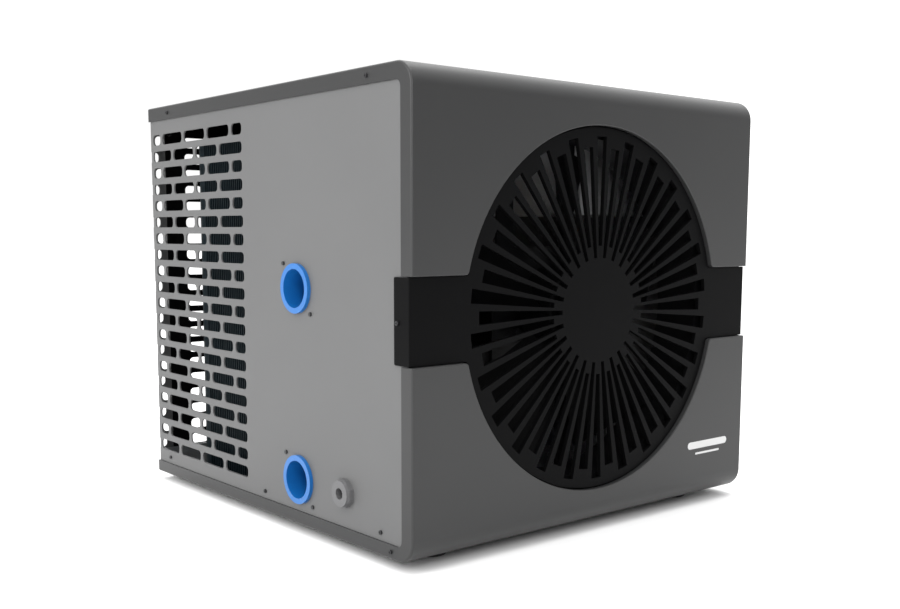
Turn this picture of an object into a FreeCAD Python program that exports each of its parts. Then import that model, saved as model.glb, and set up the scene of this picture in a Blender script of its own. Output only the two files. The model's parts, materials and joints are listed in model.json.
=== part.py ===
"""Compact air-to-water heat pump for a small pool, as separate parts.

Frame: +Z up, front towards -Y, water ports on the -X side. Origin on the ground, under the middle of the cabinet.
Lengths in millimetres. Driving sizes live in the spreadsheet "Sizes"; texts such as "body_width / 2" are expressions
on its cells.
"""
import FreeCAD, Part
import math
import os
import re

import Sketcher
from FreeCAD import Placement, Rotation, Vector

SIZES = {
    # cabinet
    "body_width": 427, "body_depth": 450.5, "body_height": 388.7, "foot_height": 8,
    "bend_radius": 19.5, "shell_gauge": 1.5, "edge_round": 2, "lip_depth": 5, "lip_gauge": 1.5,
    "flange_front": 14, "flange_top": 13.9, "flange_bottom": 12.2, "flange_corner": 6,
    "seam_low": 156.7, "seam_high": 226.5, "seam_corner": 4, "lip_round": 0.8,
    "cutout_height": 191.5, "cutout_radius": 160.4,
    # front grille
    "grille_recess": 3.8, "grille_gauge": 4, "grille_radius": 159, "belt_gap": 0.6, "belt_wrap": 22.9,
    "slot_pairs": 26, "slot_angle": 4.53, "long_slot_in": 56.9, "long_slot_out": 151.6,
    "short_slot_in": 46.3, "short_slot_out": 142.2, "grille_boss_circle": 155.5, "grille_boss_radius": 3,
    # side and rear panels
    "panel_gauge": 1.5, "panel_front": 8, "panel_return": 23, "panel_bend": 2,
    "vent_pitch": 17.05, "vent_height": 10.8, "vent_length": 43.8, "vent_web": 4.7, "vent_corner": 4.2,
    "vent_first": 31.3, "vent_start": 31.7, "vent_stop": 218.2, "vent_return_end": 197,
    "vent_return_start": 207.4, "vent_wrap_end": 203.5, "vent_return_depth": 2.4,
    "rear_grille_width": 393, "rear_slot_length": 45.8, "rear_slot_web": 4.8,
    # water ports and gland
    "port_setback": -60.3, "port_upper": 211.2, "port_lower": 41.1, "port_bore": 17, "port_ring": 21.9,
    "port_tube": 20.5, "port_stand": 215.5, "port_screw_offset": 21.4, "port_length": 38, "port_stop": 15,
    "gland_setback": -132, "gland_height": 42.3, "gland_nut": 12.6, "gland_face": 11.1, "gland_bore": 4.9,
    "gland_stand": 218.7,
    # fasteners
    "screw_head": 1.8, "screw_shank": 1.2, "screw_hole": 1.25, "screw_length": 8,
    # fan and motor
    "shroud_setback": 14, "orifice_radius": 150, "orifice_depth": 46, "fan_radius": 143.5, "fan_hub": 38,
    "fan_setback": 26, "fan_depth": 40, "blade_count": 5, "shaft_radius": 4, "shaft_fit": 0.04,
    "motor_setback": 86, "motor_radius": 46, "motor_length": 60, "bearing_radius": 11, "bearing_width": 7,
    # heat exchangers and compressor
    "coil_side": -178, "coil_back": 215, "coil_depth": 36, "coil_bend": 44, "coil_front_end": 60,
    "coil_right": 147, "coil_bottom": 18, "coil_top": 360, "coil_tube": 4.75, "coil_rows": 13, "coil_pitch": 25,
    "coil_column": 9, "coil_end": 20, "coil_fin": 1.2, "coil_groove": 4,
    "drier_east": -125, "drier_north": 5,
    "tank_east": -118, "tank_radius": 46, "tank_bottom": 22, "tank_top": 246, "riser_radius": 6,
    "riser_gas": 14, "riser_liquid": -30,
    "compressor_east": 84, "compressor_north": 42, "compressor_radius": 52, "compressor_top": 214,
    "accumulator_east": 160, "accumulator_radius": 21, "accumulator_bottom": 70, "accumulator_top": 200,
    "valve_east": -20, "valve_north": 60, "valve_height": 265, "valve_radius": 11, "valve_port_pitch": 20,
    # electrics
    "box_west": 60, "box_front": -140, "box_rear": 10, "box_floor": 285, "box_top": 372,
    # control panel
    "panel_east": 106, "panel_north": -120, "bezel_length": 96, "bezel_width": 50, "bezel_recess": 0.8,
    "button_radius": 4.2, "button_fit": 0.25, "button_travel": 0.8,
}

doc = FreeCAD.newDocument("HeatPump")
sheet = doc.addObject("Spreadsheet::Sheet", "Sizes")
for row, (alias, number) in enumerate(SIZES.items(), 1):
    sheet.set(f"A{row}", alias)
    sheet.set(f"B{row}", str(number))
    sheet.setAlias(f"B{row}", alias)
doc.recompute()

# places that many parts share, as expressions
FRONT = "(-body_depth / 2)"
REAR = "(body_depth / 2)"
FLOOR = "foot_height"
CEILING = "(foot_height + body_height)"
AXIS = "(foot_height + cutout_height)"
SEAM_LOW = "(foot_height + seam_low)"
SEAM_HIGH = "(foot_height + seam_high)"
PANEL_OUT = "(body_width / 2 - shell_gauge)"
PANEL_IN = "(body_width / 2 - shell_gauge - panel_gauge)"
PAN_TOP = "(foot_height + shell_gauge + 1.2)"

parts = {}


def on_sheet(text):
    """The text with every cell name pointed at the sheet."""
    return re.sub(r"[a-z_]{4,}", lambda m: "Sizes." + m.group() if m.group() in SIZES else m.group(), str(text))


def value(text):
    """The number that an expression on the sheet gives."""
    return float(eval_on_sheet(on_sheet(text)))


def eval_on_sheet(text):
    result = doc.Sizes.evalExpression(text.replace("Sizes.", ""))
    return getattr(result, "Value", result)


def keep(name, obj):
    """Names a finished sub-part."""
    obj.Label = name
    parts[name] = obj
    return obj


# ---------------------------------------------------------------- primitives bound to the sheet
TURNS = {"z": Rotation(), "x": Rotation(Vector(0, 1, 0), 90), "y": Rotation(Vector(1, 0, 0), -90)}


def bind(obj, **properties):
    for name, text in properties.items():
        obj.setExpression(name, on_sheet(text))
    return obj


def place(obj, corner, axis="z"):
    obj.Placement = Placement(Vector(), TURNS[axis])
    for letter, text in zip("xyz", corner):
        obj.setExpression(f"Placement.Base.{letter}", on_sheet(text))
    return obj


def block(name, xs, ys, zs):
    """Box between two expressions along each axis."""
    obj = doc.addObject("Part::Box", name)
    bind(obj, Length=f"{xs[1]} - ({xs[0]})", Width=f"{ys[1]} - ({ys[0]})", Height=f"{zs[1]} - ({zs[0]})")
    return place(obj, (xs[0], ys[0], zs[0]))


def rod(name, axis, radius, span, centre):
    """Cylinder along an axis, between the two expressions of span, about centre in the other two axes."""
    obj = doc.addObject("Part::Cylinder", name)
    bind(obj, Radius=radius, Height=f"{span[1]} - ({span[0]})")
    corner = list(centre)
    corner.insert("xyz".index(axis), span[0])
    return place(obj, corner, axis)


def cone(name, axis, radius_low, radius_high, span, centre):
    obj = doc.addObject("Part::Cone", name)
    bind(obj, Radius1=radius_low, Radius2=radius_high, Height=f"{span[1]} - ({span[0]})")
    corner = list(centre)
    corner.insert("xyz".index(axis), span[0])
    return place(obj, corner, axis)


def prism(name, axis, sides, radius, span, centre):
    obj = doc.addObject("Part::Prism", name)
    obj.Polygon = sides
    bind(obj, Circumradius=radius, Height=f"{span[1]} - ({span[0]})")
    corner = list(centre)
    corner.insert("xyz".index(axis), span[0])
    return place(obj, corner, axis)


def fuse(name, *shapes):
    obj = doc.addObject("Part::MultiFuse", name)
    obj.Shapes = list(shapes)
    return obj


def gather(name, *shapes):
    """Separate solids that share one node."""
    obj = doc.addObject("Part::Compound", name)
    obj.Links = list(shapes)
    return obj


def cut(name, base, *tools):
    obj = doc.addObject("Part::Cut", name)
    obj.Base = base
    obj.Tool = tools[0] if len(tools) == 1 else gather(name + "_tools", *tools)
    return obj


def tube(name, axis, outer, inner, span, centre):
    outside = rod(name + "_outside", axis, outer, span, centre)
    return cut(name, outside, rod(name + "_inside", axis, inner, span, centre))


def formed(name, shape):
    """A shape made with Part's functions, where no parametric object fits."""
    obj = doc.addObject("Part::Feature", name)
    obj.Shape = shape
    return obj


# ---------------------------------------------------------------- sketched bodies
def new_body(name):
    return doc.addObject("PartDesign::Body", name)


def sketch(body, name, role, offset="0"):
    """Sketch on one of the body's origin planes, moved along the plane's normal."""
    sk = body.newObject("Sketcher::SketchObject", name)
    support = next(f for f in body.Origin.OriginFeatures if f.Role == role)
    sk.AttachmentSupport = [(support, "")]
    sk.MapMode = "FlatFace"
    sk.setExpression("AttachmentOffset.Base.z", on_sheet(offset))
    return sk


def pin_point(sk, geometry, vertex, x, y):
    """Ties one sketch point to a place given by two expressions."""
    for kind, text, other_axis in (("DistanceX", x, -2), ("DistanceY", y, -1)):
        if str(text) == "0":
            sk.addConstraint(Sketcher.Constraint("PointOnObject", geometry, vertex, other_axis))
            continue
        number = sk.addConstraint(Sketcher.Constraint(kind, -1, 1, geometry, vertex, value(text)))
        sk.setExpression(f"Constraints[{number}]", on_sheet(text))


def polygon(sk, points):
    """Closed outline whose corners are bound to the sheet."""
    spots = [Vector(value(x), value(y), 0) for x, y in points]
    first = sk.GeometryCount
    count = len(spots)
    for i in range(count):
        sk.addGeometry(Part.LineSegment(spots[i], spots[(i + 1) % count]))
    for i in range(count):
        sk.addConstraint(Sketcher.Constraint("Coincident", first + i, 2, first + (i + 1) % count, 1))
        pin_point(sk, first + i, 1, *points[i])


def circle(sk, x, y, radius):
    index = sk.addGeometry(Part.Circle(Vector(value(x), value(y), 0), Vector(0, 0, 1), value(radius)))
    number = sk.addConstraint(Sketcher.Constraint("Radius", index, value(radius)))
    sk.setExpression(f"Constraints[{number}]", on_sheet(radius))
    pin_point(sk, index, 3, x, y)


def contour(sk, corners):
    """Closed outline through (x, y, radius) corners given as numbers, each rounded by a tangent arc."""
    spots = [Vector(x, y, 0) for x, y, radius in corners]
    stretches = []
    for i, (x, y, radius) in enumerate(corners):
        before = (spots[i - 1] - spots[i]).normalize()
        after = (spots[(i + 1) % len(spots)] - spots[i]).normalize()
        half_turn = before.getAngle(after) / 2
        setback = radius / math.tan(half_turn)
        middle = spots[i] + (before + after).normalize() * (radius / math.sin(half_turn) - radius)
        stretches.append((spots[i] + before * setback, middle, spots[i] + after * setback, radius))
    for i, (start, middle, end, radius) in enumerate(stretches):
        if radius:
            sk.addGeometry(Part.Arc(start, middle, end))
        sk.addGeometry(Part.LineSegment(end, stretches[(i + 1) % len(stretches)][0]))


def rounded_slot(sk, low, high, middle, height, corner):
    """Rounded rectangle from low to high along the sketch's x, as plain numbers."""
    bottom, top = middle - height / 2, middle + height / 2
    corners = [(high - corner, bottom + corner, -90), (high - corner, top - corner, 0),
               (low + corner, top - corner, 90), (low + corner, bottom + corner, 180)]
    for i, (x, y, start) in enumerate(corners):
        ring = Part.Circle(Vector(x, y, 0), Vector(0, 0, 1), corner)
        sk.addGeometry(Part.ArcOfCircle(ring, math.radians(start), math.radians(start + 90)))
        nx, ny, next_start = corners[(i + 1) % 4]
        end = math.radians(start + 90)
        here = Vector(x + corner * math.cos(end), y + corner * math.sin(end), 0)
        there = Vector(nx + corner * math.cos(end), ny + corner * math.sin(end), 0)
        sk.addGeometry(Part.LineSegment(here, there))


def pad(body, profile, length, flip=False):
    feature = body.newObject("PartDesign::Pad", profile.Name + "_pad")
    feature.Profile = profile
    feature.Reversed = flip
    bind(feature, Length=length)
    doc.recompute()
    return feature


def pocket(body, profile, length, flip=False):
    feature = body.newObject("PartDesign::Pocket", profile.Name + "_pocket")
    feature.Profile = profile
    feature.Reversed = flip
    before = body.Shape.Volume
    bind(feature, Length=length)
    doc.recompute()
    if not body.Shape.Volume < before - 1e-6:
        raise ValueError(f"{feature.Name} cuts nothing")
    return feature


def edges_where(shape, test):
    """Names of the edges whose bounding box passes the test."""
    return [f"Edge{i}" for i, edge in enumerate(shape.Edges, 1) if test(edge.BoundBox)]


def fillet(body, radius, test):
    """Rounds the edges of the body's last feature that pass the test."""
    base = body.Tip
    feature = body.newObject("PartDesign::Fillet", base.Name + "_round")
    feature.Base = (base, edges_where(base.Shape, test))
    bind(feature, Radius=radius)
    doc.recompute()
    return feature


def same(a, b, slack=0.01):
    return abs(a - b) < slack


# ---------------------------------------------------------------- cabinet shells
def shell(name, far, seam, side, flange):
    """C-shaped sheet shell: far is its flat face, seam its edge at the belt, side is +1 for the upper one."""
    body = new_body(name)
    back = "-" if side > 0 else "+"
    f_y, r_y, far_z, seam_z = value(FRONT), value(REAR), value(far), value(seam)
    past_seam, past_rear = seam_z - side * 10, r_y + 10
    gauge, lip, bend = value("shell_gauge"), value("lip_depth"), value("bend_radius")
    half_width = value("body_width / 2")

    outline = sketch(body, name + "_outline", "YZ_Plane", "-body_width / 2")
    polygon(outline, [(FRONT, seam), (REAR, seam), (REAR, far), (FRONT, far)])
    pad(body, outline, "body_width")
    fillet(body, "bend_radius", lambda b: same(b.YMin, f_y) and same(b.YMax, f_y) and same(b.ZMin, far_z)
           and same(b.ZMax, far_z))

    hollow = sketch(body, name + "_hollow", "YZ_Plane", "body_width / 2 - shell_gauge")
    inside = far_z - side * gauge
    contour(hollow, [(f_y + gauge, past_seam, 0), (past_rear, past_seam, 0), (past_rear, inside, 0),
                     (f_y + gauge, inside, bend - gauge)])
    pocket(body, hollow, "body_width - 2 * shell_gauge")

    window = sketch(body, name + "_window", "YZ_Plane", "body_width / 2 + 1")
    border = value(f"{far} {back} {flange}")
    contour(window, [(f_y + value("flange_front"), past_seam, 0), (past_rear, past_seam, 0), (past_rear, border, 0),
                     (f_y + value("flange_front"), border, value("flange_corner"))])
    pocket(body, window, "body_width + 2")

    # a lip turned in along the seam and round the cut-out stiffens the front
    lips = sketch(body, name + "_lips", "XZ_Plane", f"-({FRONT} + shell_gauge / 2)")
    axis_z, half = value(AXIS), half_width - gauge
    edge_z = seam_z + side * value("lip_gauge")
    inner, ring = value("cutout_radius"), value("cutout_radius + lip_gauge")
    rises = [math.asin((level - axis_z) / radius) for level, radius in ((seam_z, inner), (edge_z, ring))]
    crosses = [inner * math.cos(rises[0]), ring * math.cos(rises[1])]
    for a, b in (((-half, seam_z), (-crosses[0], seam_z)), ((crosses[0], seam_z), (half, seam_z)),
                 ((half, seam_z), (half, edge_z)), ((half, edge_z), (crosses[1], edge_z)),
                 ((-crosses[1], edge_z), (-half, edge_z)), ((-half, edge_z), (-half, seam_z))):
        lips.addGeometry(Part.LineSegment(Vector(*a, 0), Vector(*b, 0)))
    for radius, rise in ((inner, rises[0]), (ring, rises[1])):
        rim = Part.Circle(Vector(0, axis_z, 0), Vector(0, 0, 1), radius)
        turn = (rise, math.pi - rise) if side > 0 else (math.pi - rise, 2 * math.pi + rise)
        lips.addGeometry(Part.ArcOfCircle(rim, *turn))
    pad(body, lips, "lip_depth - shell_gauge / 2", flip=True)

    opening = sketch(body, name + "_opening", "XZ_Plane", f"-({FRONT} - 1)")
    circle(opening, "0", AXIS, "cutout_radius")
    pocket(body, opening, "lip_depth + 2")
    fillet(body, "seam_corner", lambda b: same(b.ZMin, seam_z) and same(b.ZMax, seam_z) and same(b.XMin, b.XMax)
           and same(b.YMin, f_y) and same(b.YMax, f_y + lip) and abs(b.XMin) < ring)

    # round the outer edges between the front and the sides, then the front edge of the lip
    fillet(body, "edge_round", lambda b: same(b.XMin, b.XMax) and same(abs(b.XMin), half_width)
           and (same(b.YMin, f_y) and (same(b.YMax, f_y) or same(b.YMax, f_y + bend))
                or same(b.ZMin, far_z) and same(b.ZMax, far_z)))
    flat_half = half_width - value("edge_round")
    fillet(body, "lip_round", lambda b: same(b.YMin, f_y) and same(b.YMax, f_y)
           and abs(b.XMin + b.XMax) / 2 < flat_half - 0.5 and not same(b.ZMin, far_z - side * bend))
    return keep(name, body)


SHELL_SCREWS = {"upper": [("-168", f"{CEILING} - 7.5"), ("180.5", f"{CEILING} - 7.5")],
                "lower": [("-197", f"{FLOOR} + 6.3")]}
PANEL_SCREWS = [("-182", f"{FLOOR} + 19"), ("-0.5", f"{FLOOR} + 19"), ("197.5", f"{FLOOR} + 19")]
BELT_SCREW = (f"{FRONT} + 18.5", f"{FLOOR} + 190.3")
REAR_SCREWS = [(east, high) for east in ("-192.5", "192.5") for high in ("40", "200", "370")]


def front_grille():
    """One black moulding: a round grille with wedge slots, and a belt that wraps onto both sides."""
    body = new_body("front_grille")
    f_y, half_width = value(FRONT), value("body_width / 2")
    face = f"-({FRONT} + grille_recess + grille_gauge)"
    disc = sketch(body, "grille_disc", "XZ_Plane", face)
    circle(disc, "0", AXIS, "grille_radius")
    pad(body, disc, "grille_gauge")

    low, high = f"{SEAM_LOW} + belt_gap", f"{SEAM_HIGH} - belt_gap"
    belt = sketch(body, "grille_belt", "XY_Plane", low)
    side, front, rear = "body_width / 2", f"{FRONT} + grille_recess", f"{FRONT} + belt_wrap"
    polygon(belt, [(f"-({side})", front), (side, front), (side, rear), (f"{side} - shell_gauge", rear),
                   (f"{side} - shell_gauge", f"{front} + grille_gauge"),
                   (f"-({side} - shell_gauge)", f"{front} + grille_gauge"), (f"-({side} - shell_gauge)", rear),
                   (f"-({side})", rear)])
    pad(body, belt, f"{high} - ({low})")
    bosses = sketch(body, "grille_bosses", "XZ_Plane", f"-({FRONT} + shroud_setback)")
    for step in range(4):
        angle = math.radians(45 + 90 * step)
        circle(bosses, f"grille_boss_circle * {math.cos(angle):.6f}",
               f"{AXIS} + grille_boss_circle * {math.sin(angle):.6f}", "grille_boss_radius")
    pad(body, bosses, "shroud_setback - grille_recess - grille_gauge / 2")

    axis_z, half_slot = value(AXIS), math.radians(value("slot_angle") / 2)
    step = math.pi / value("slot_pairs")
    for name, inner, outer, turn in (("long_slot", "long_slot_in", "long_slot_out", 0),
                                     ("short_slot", "short_slot_in", "short_slot_out", step)):
        slot = sketch(body, name, "XZ_Plane", f"-({FRONT} + grille_recess - 1)")
        radii = value(inner), value(outer)
        sides = (math.pi / 2 + turn - half_slot, math.pi / 2 + turn + half_slot)
        spots = {(r, a): Vector(r * math.cos(a), axis_z + r * math.sin(a), 0) for r in radii for a in sides}
        for a in sides:
            slot.addGeometry(Part.LineSegment(spots[radii[0], a], spots[radii[1], a]))
        for r in radii:
            slot.addGeometry(Part.ArcOfCircle(Part.Circle(Vector(0, axis_z, 0), Vector(0, 0, 1), r), *sides))
        hole = pocket(body, slot, "grille_gauge + 2")
        ring = body.newObject("PartDesign::PolarPattern", name + "s")
        ring.Originals = [hole]
        centre = sketch(body, name + "_axis", "XZ_Plane")
        circle(centre, "0", AXIS, "1")
        ring.Axis = (centre, ["N_Axis"])
        ring.Angle = 360
        ring.Occurrences = int(value("slot_pairs"))
        centre.AttachmentOffset = Placement(Vector(0, axis_z, 0), Rotation())
        body.Tip = ring
        doc.recompute()
    low_z, high_z = value(low), value(high)
    fillet(body, "1", lambda b: same(b.XMin, b.XMax) and same(abs(b.XMin), half_width) and same(b.YMin, b.YMax)
           and same(b.YMin, f_y + value("grille_recess")))
    fillet(body, "1.5", lambda b: same(b.YMin, b.YMax) and same(b.YMin, value(rear))
           and (same(b.ZMin, b.ZMax)) and (same(b.ZMin, low_z) or same(b.ZMin, high_z)))
    holes = sketch(body, "belt_screw_holes", "YZ_Plane", "body_width / 2 + 1")
    circle(holes, *BELT_SCREW, "screw_hole")
    pocket(body, holes, "body_width + 2")
    return keep("front_grille", body)


# ---------------------------------------------------------------- vented panels
def vent_row(row):
    """Low and high ends of a row's slots along the side; the last one is cut short by the rear corner."""
    length, web, stop = value("vent_length"), value("vent_web"), value("vent_stop")
    low = value("vent_start")
    ends = []
    if row % 2:
        ends.append((low, low + (length - web) / 2))
        low += (length + web) / 2
    while low < stop - web:
        ends.append((low, min(low + length, stop)))
        low += length + web
    return ends


def row_height(row):
    """Middle of a row of vents, counted from the bottom."""
    return value(f"foot_height + vent_first + vent_pitch * {row}")


def repeat_rows(body, feature, profile):
    """Repeats a pair of vent rows ten times up the panel."""
    pattern = body.newObject("PartDesign::LinearPattern", feature.Name + "_rows")
    pattern.Originals = [feature]
    pattern.Direction = (profile, ["V_Axis"])
    bind(pattern, Length="vent_pitch * 18")
    pattern.Occurrences = 10
    body.Tip = pattern
    doc.recompute()
    return pattern


def panel_vents(body):
    """Rows of slots along the left side, and a shorter slot at the end of each row on the rear return."""
    corner, height = value("vent_corner"), value("vent_height")
    slots = sketch(body, "side_vents", "YZ_Plane", f"-({PANEL_IN} - 1)")
    for row in (0, 1):
        for low, high in vent_row(row):
            rounded_slot(slots, low, high, row_height(row), height, corner)
    repeat_rows(body, pocket(body, slots, "4"), slots)
    wraps = sketch(body, "return_vents", "XZ_Plane", f"-({REAR} - vent_return_depth)")
    for row, start, end in ((0, "body_width / 2 + 12", "vent_wrap_end"), (1, "vent_return_start", "vent_return_end")):
        rounded_slot(wraps, -value(start), -value(end), row_height(row), height, corner)
    repeat_rows(body, pocket(body, wraps, "6"), wraps)


def side_panel(name, side, holes):
    """Sheet that covers one side and turns round the rear corner; the ports' side, -1, has vents."""
    body = new_body(name)
    sign = "-" if side < 0 else ""
    outer, inner, back = f"{sign}{PANEL_OUT}", f"{sign}{PANEL_IN}", REAR
    end = f"{sign}(body_width / 2 - shell_gauge - panel_return)"
    plan = sketch(body, name + "_plan", "XY_Plane", f"{FLOOR} + shell_gauge")
    polygon(plan, [(outer, f"{FRONT} + panel_front"), (outer, back), (end, back), (end, f"{back} - panel_gauge"),
                   (inner, f"{back} - panel_gauge"), (inner, f"{FRONT} + panel_front")])
    pad(body, plan, "body_height - 2 * shell_gauge")
    out_x, in_x, rear_y, gauge = value(outer), value(inner), value(back), value("panel_gauge")
    fillet(body, "panel_bend", lambda b: same(b.XMin, out_x) and same(b.XMax, out_x) and same(b.YMin, rear_y)
           and same(b.YMax, rear_y))
    fillet(body, "panel_bend - panel_gauge", lambda b: same(b.XMin, in_x) and same(b.XMax, in_x)
           and same(b.YMin, rear_y - gauge) and same(b.YMax, rear_y - gauge))

    front_y = value(f"{FRONT} + panel_front")
    ends_z = value(f"{FLOOR} + shell_gauge"), value(f"{CEILING} - shell_gauge")
    fillet(body, "bend_radius - shell_gauge", lambda b: same(b.YMin, front_y) and same(b.YMax, front_y)
           and same(b.ZMin, b.ZMax) and any(same(b.ZMin, z) for z in ends_z))
    if side < 0:
        panel_vents(body)

    openings = sketch(body, name + "_holes", "YZ_Plane", f"{sign}({PANEL_OUT} + 1)")
    for y, z in [*SHELL_SCREWS["upper"], *SHELL_SCREWS["lower"], *PANEL_SCREWS, BELT_SCREW]:
        circle(openings, y, z, "screw_hole")
    for y, z, radius in holes:
        circle(openings, y, z, radius)
    pocket(body, openings, "panel_gauge + 2", flip=side < 0)
    rear_holes = sketch(body, name + "_rear_holes", "XZ_Plane", f"-({REAR} - 6)")
    for x, z in REAR_SCREWS:
        if value(x) * side > 0:
            circle(rear_holes, x, z, "screw_hole")
    pocket(body, rear_holes, "6")
    return keep(name, body)


def rear_grille():
    """Black slotted plate behind the opening between the side panels' returns."""
    body = new_body("rear_grille")
    half = "rear_grille_width / 2"
    plate = sketch(body, "rear_plate", "XZ_Plane", f"-({REAR} - panel_gauge)")
    low, high = f"{FLOOR} + shell_gauge", f"{CEILING} - shell_gauge"
    polygon(plate, [(f"-{half}", low), (half, low), (half, high), (f"-{half}", high)])
    pad(body, plate, "panel_gauge")
    slots = sketch(body, "rear_vents", "XZ_Plane", f"-({REAR} - 2 * panel_gauge - 1)")
    length, web = value("rear_slot_length"), value("rear_slot_web")
    pitch = length + web
    edge = 3.5 * pitch - web / 2
    for row in (0, 1):
        starts = [-edge + pitch * i for i in range(7)] if row else [-edge + pitch * (i + 0.5) for i in range(6)]
        ends = [(low_x, low_x + length) for low_x in starts]
        if not row:
            ends += [(-edge, -edge + (length - web) / 2), (edge - (length - web) / 2, edge)]
        for low_x, high_x in ends:
            rounded_slot(slots, low_x, high_x, row_height(row), value("vent_height"), value("vent_corner"))
    repeat_rows(body, pocket(body, slots, "panel_gauge + 2"), slots)
    holes = sketch(body, "rear_screw_holes", "XZ_Plane", f"-({REAR} - 2 * panel_gauge - 1)")
    for x, z in REAR_SCREWS:
        circle(holes, x, z, "screw_hole")
    pocket(body, holes, "panel_gauge + 2")
    return keep("rear_grille", body)


# ---------------------------------------------------------------- base, feet, drain
FEET = [(east, north) for east in ("-160", "160") for north in ("-180", "170")]


def base_and_feet():
    low, high = f"{FLOOR} + shell_gauge", f"{FLOOR} + shell_gauge + 24"
    wide, start, stop = f"({PANEL_IN} - 0.4)", f"{FRONT} + bend_radius", f"{REAR} - 6"
    outside = block("pan_block", (f"-{wide}", wide), (start, stop), (low, high))
    inside = block("pan_hollow", (f"-{wide} + 1.2", f"{wide} - 1.2"), (f"{start} + 1.2", f"{stop} - 1.2"),
                   (PAN_TOP, f"{high} + 1"))
    holes = [rod(f"pan_hole_{i}", "z", "3.2", (f"{low} - 1", f"{PAN_TOP} + 1"), spot) for i, spot in enumerate(FEET)]
    drain = rod("pan_drain", "z", "8", (f"{low} - 1", f"{PAN_TOP} + 1"), ("0", "120"))
    notch = block("pan_port_notch", (f"-{wide} - 1", f"-{wide} + 2"), ("port_setback - 36", "port_setback + 36"),
                  (PAN_TOP, f"{high} + 1"))
    for i, (y, z) in enumerate(SHELL_SCREWS["lower"] + PANEL_SCREWS):
        holes.append(rod(f"pan_side_hole_{i}", "x", "screw_hole", (f"-{wide} - 1", f"{wide} + 1"), (y, z)))
    keep("base_pan", cut("base_pan", outside, inside, notch, drain, *holes))
    feet, screws, nuts = [], [], []
    for i, spot in enumerate(FEET):
        rubber = cone(f"foot_{i}_rubber", "z", "14", "17", ("0", FLOOR), spot)
        bore = rod(f"foot_{i}_bore", "z", "3.2", ("-1", f"{FLOOR} + 1"), spot)
        well = rod(f"foot_{i}_well", "z", "7", ("-1", "4"), spot)
        feet.append(cut(f"foot_{i}", rubber, fuse(f"foot_{i}_core", bore, well)))
        head = rod(f"foot_screw_{i}_head", "z", "5.5", ("1.2", "4"), spot)
        shank = rod(f"foot_screw_{i}_shank", "z", "3", ("4", f"{PAN_TOP} + 6.5"), spot)
        screws.append(fuse(f"foot_screw_{i}", head, shank))
        blank = prism(f"foot_nut_{i}_blank", "z", 6, "5.8", (PAN_TOP, f"{PAN_TOP} + 5"), spot)
        nuts.append(cut(f"foot_nut_{i}", blank, rod(f"foot_nut_{i}_bore", "z", "3.04",
                                                    (f"{PAN_TOP} - 1", f"{PAN_TOP} + 6"), spot)))
    keep("rubber_feet", gather("rubber_feet", *feet))
    keep("foot_screws", gather("foot_screws", *screws))
    keep("foot_nuts", gather("foot_nuts", *nuts))
    flange = rod("drain_flange", "z", "13", (PAN_TOP, f"{PAN_TOP} + 2"), ("0", "120"))
    pipe = rod("drain_pipe", "z", "7.8", ("2", f"{PAN_TOP} + 1"), ("0", "120"))
    bore = rod("drain_bore", "z", "6", ("1", f"{PAN_TOP} + 3"), ("0", "120"))
    keep("drain_spout", cut("drain_spout", fuse("drain_body", flange, pipe), bore))


# ---------------------------------------------------------------- screws of the cabinet
def screw(name, axis, way, seat, centre):
    """Pan-head screw with its head on the level seat, driven towards + or - along the axis."""
    if way > 0:
        head_span, shank_span = (f"{seat} - 1.4", seat), (f"{seat} - 0.5", f"{seat} + screw_length")
    else:
        head_span, shank_span = (seat, f"{seat} + 1.4"), (f"{seat} - screw_length", f"{seat} + 0.5")
    return fuse(name, rod(name + "_head", axis, "screw_head", head_span, centre),
                rod(name + "_shank", axis, "screw_shank", shank_span, centre))


def cabinet_screws():
    made = []
    for side, way in (("-", 1), ("", -1)):
        for i, spot in enumerate([*SHELL_SCREWS["upper"], *SHELL_SCREWS["lower"], BELT_SCREW]):
            made.append(screw(f"flange_screw_{way + 1}_{i}", "x", way, f"{side}body_width / 2", spot))
        for i, spot in enumerate(PANEL_SCREWS):
            made.append(screw(f"panel_screw_{way + 1}_{i}", "x", way, f"{side}{PANEL_OUT}", spot))
    for i, spot in enumerate(REAR_SCREWS):
        made.append(screw(f"rear_screw_{i}", "y", -1, REAR, spot))
    keep("cabinet_screws", gather("cabinet_screws", *made))


# ---------------------------------------------------------------- water ports and gland
PORTS = {"inlet_port": f"({FLOOR} + port_lower)", "outlet_port": f"({FLOOR} + port_upper)"}


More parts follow.
